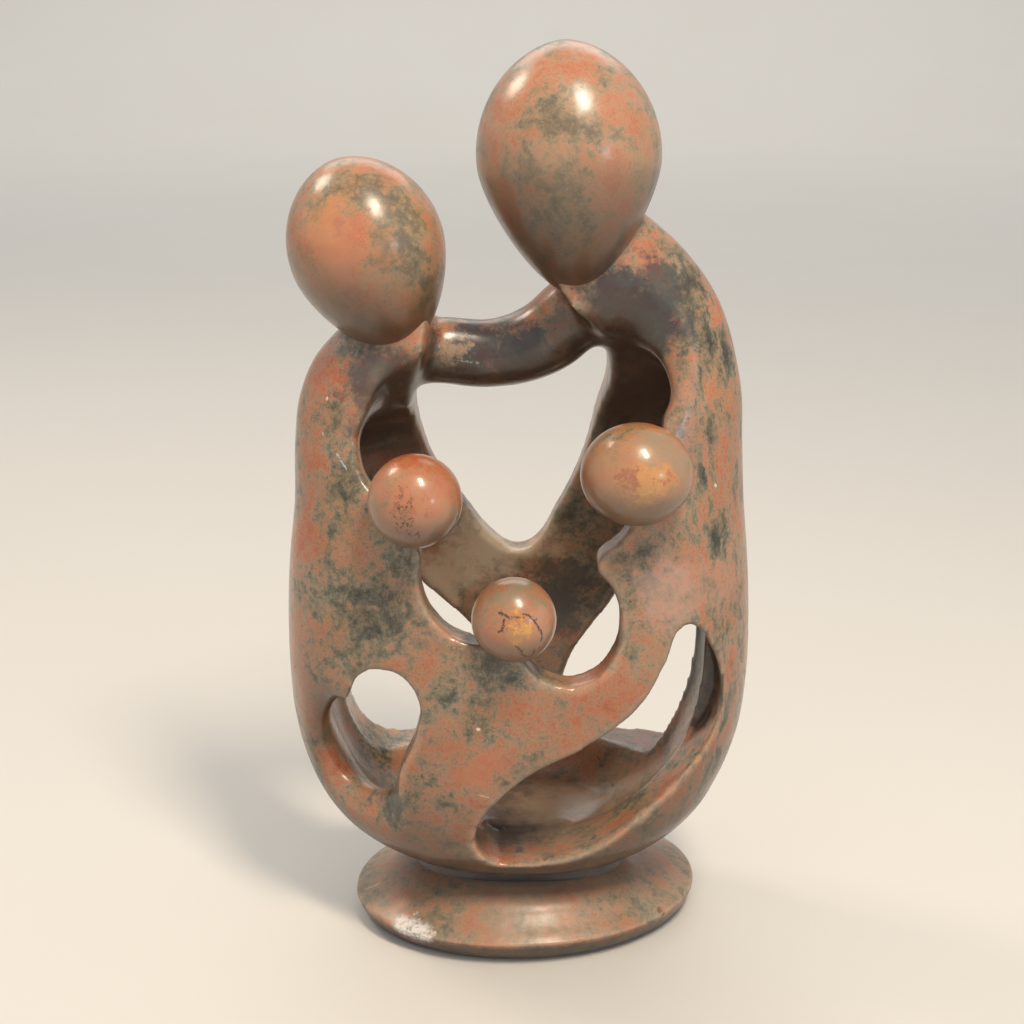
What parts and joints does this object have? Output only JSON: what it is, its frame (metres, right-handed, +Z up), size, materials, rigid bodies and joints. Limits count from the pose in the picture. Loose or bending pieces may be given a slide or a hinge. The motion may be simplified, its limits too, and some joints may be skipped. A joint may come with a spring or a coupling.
{
  "type": "family group sculpture",
  "caption": "Carved stone family group: leaning parents with egg-shaped heads over small round children's heads, a pierced hollow body and an oval base.",
  "frame": {"origin": "centre of the flat underside of the base", "axes": "+Z up towards the father's head, -Y out of the front with the children's heads, +X towards the father's side"},
  "size_m": [0.1564, 0.1085, 0.2984],
  "materials": {
    "mottled_stone": "polished mottled stone, salmon to orange with grey-green clouds"
  },
  "bodies": {
    "root": {"family_group": "mottled_stone"}
  },
  "joints": []
}
